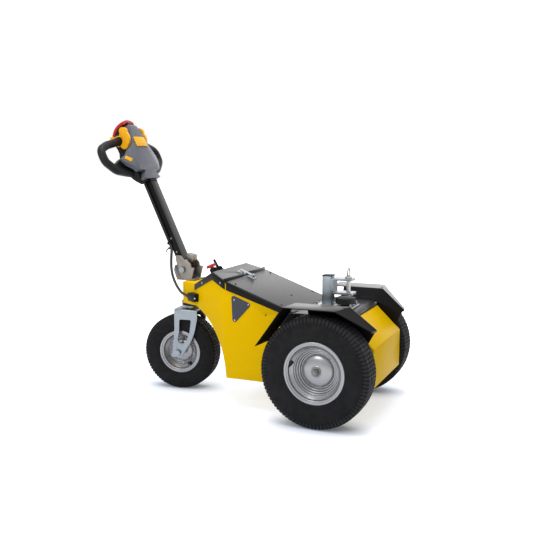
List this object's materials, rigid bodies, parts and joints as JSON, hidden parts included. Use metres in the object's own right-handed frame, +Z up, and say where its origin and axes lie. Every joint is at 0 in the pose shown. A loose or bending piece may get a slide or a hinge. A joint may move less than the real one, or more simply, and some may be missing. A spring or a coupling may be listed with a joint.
{
  "type": "walk-behind battery tow tug",
  "caption": "Walk-behind battery tug with two drive wheels under fenders, a castor, a tilting tiller and a drop-pin hitch on a post for towing luggage carts.",
  "frame": {"origin": "on the floor under the middle of the machine's overall box", "axes": "+X forward, towards the castor and the tiller; +Y to the machine's left; +Z up"},
  "size_m": [1.2058, 0.636, 1.1072],
  "materials": {
    "yellow_paint": "satin powder coat",
    "black_paint": "satin powder coat",
    "rim_paint": "silver paint",
    "zinc": "bright zinc plating",
    "steel": "bright steel",
    "cast_iron": "painted casting",
    "tyre": "matt",
    "rubber": "matt",
    "grey_plastic": "fine grain",
    "black_plastic": "fine grain",
    "yellow_plastic": "semi gloss",
    "red_plastic": "semi gloss"
  },
  "bodies": {
    "chassis": {"battery": "black_plastic", "cable_box": "black_plastic", "castor_arch": "yellow_paint", "castor_bearing": "black_paint", "drive_axle": "cast_iron", "fender_left": "black_paint", "fender_right": "black_paint", "floor_tray": "yellow_paint", "front_cover": "black_paint", "hitch_base": "zinc", "hitch_buffer": "rubber", "hitch_clevis": "zinc", "hitch_post": "zinc", "isolator_key": "red_plastic", "isolator_switch": "black_plastic", "key": "steel", "key_switch": "black_plastic", "latch_catch": "steel", "lid_hinge": "black_paint", "nose_box": "yellow_paint", "post_cap": "black_plastic", "rear_deck": "black_paint", "rear_panel": "yellow_paint", "side_panel_left": "yellow_paint", "side_panel_right": "yellow_paint", "side_plate": "black_plastic", "tiller_bracket": "zinc", "tiller_cable": "rubber", "tiller_pivot_bolt": "zinc"},
    "battery_lid": {"battery_lid": "black_paint", "lid_latch": "steel"},
    "drop_pin": {"drop_pin": "steel"},
    "drive_wheel_left": {"drive_tyre_left": "tyre", "drive_rim_left": "rim_paint", "drive_hub_left": "steel"},
    "drive_wheel_right": {"drive_tyre_right": "tyre", "drive_rim_right": "rim_paint", "drive_hub_right": "steel"},
    "castor_fork": {"castor_fork": "zinc", "castor_axle": "zinc"},
    "castor_wheel": {"castor_tyre": "tyre", "castor_rim": "zinc"},
    "tiller": {"tiller_arm": "black_paint", "tiller_lock_lever": "zinc", "tiller_head_cover": "grey_plastic", "tiller_head_shell": "black_plastic", "handle_left": "black_plastic", "handle_right": "black_plastic", "belly_button": "red_plastic", "throttle_left": "yellow_plastic", "throttle_right": "yellow_plastic", "head_button": "yellow_plastic", "head_switch": "yellow_plastic", "cable_clip": "black_plastic", "arm_cable": "rubber"}
  },
  "joints": [
    {"name": "drive_wheel_left_spin", "type": "hinge", "parent": "chassis", "child": "drive_wheel_left", "pos_m": [-0.39987, 0.2555, 0.203], "axis": [0, 1, 0], "continuous": true},
    {"name": "drive_wheel_right_spin", "type": "hinge", "parent": "chassis", "child": "drive_wheel_right", "pos_m": [-0.39987, -0.2555, 0.203], "axis": [0, 1, 0], "continuous": true},
    {"name": "castor_swivel", "type": "hinge", "parent": "chassis", "child": "castor_fork", "pos_m": [0.24813, 0, 0.34], "axis": [0, 0, 1], "continuous": true},
    {"name": "castor_wheel_spin", "type": "hinge", "parent": "castor_fork", "child": "castor_wheel", "pos_m": [0.29165, 0.00643, 0.156], "axis": [-0.1461, 0.9893, 0], "continuous": true},
    {"name": "tiller_tilt", "type": "hinge", "parent": "chassis", "child": "tiller", "pos_m": [0.26913, 0, 0.5], "axis": [0, 1, 0], "range_deg": [-25, 45], "deforming": ["tiller_cable"]},
    {"name": "lid_hinge", "type": "hinge", "parent": "chassis", "child": "battery_lid", "pos_m": [-0.27987, 0, 0.389], "axis": [0, -1, 0], "range_deg": [0, 70]},
    {"name": "drop_pin_lift", "type": "slide", "parent": "chassis", "child": "drop_pin", "axis": [0, 0, 1], "range_m": [0, 0.08]}
  ]
}
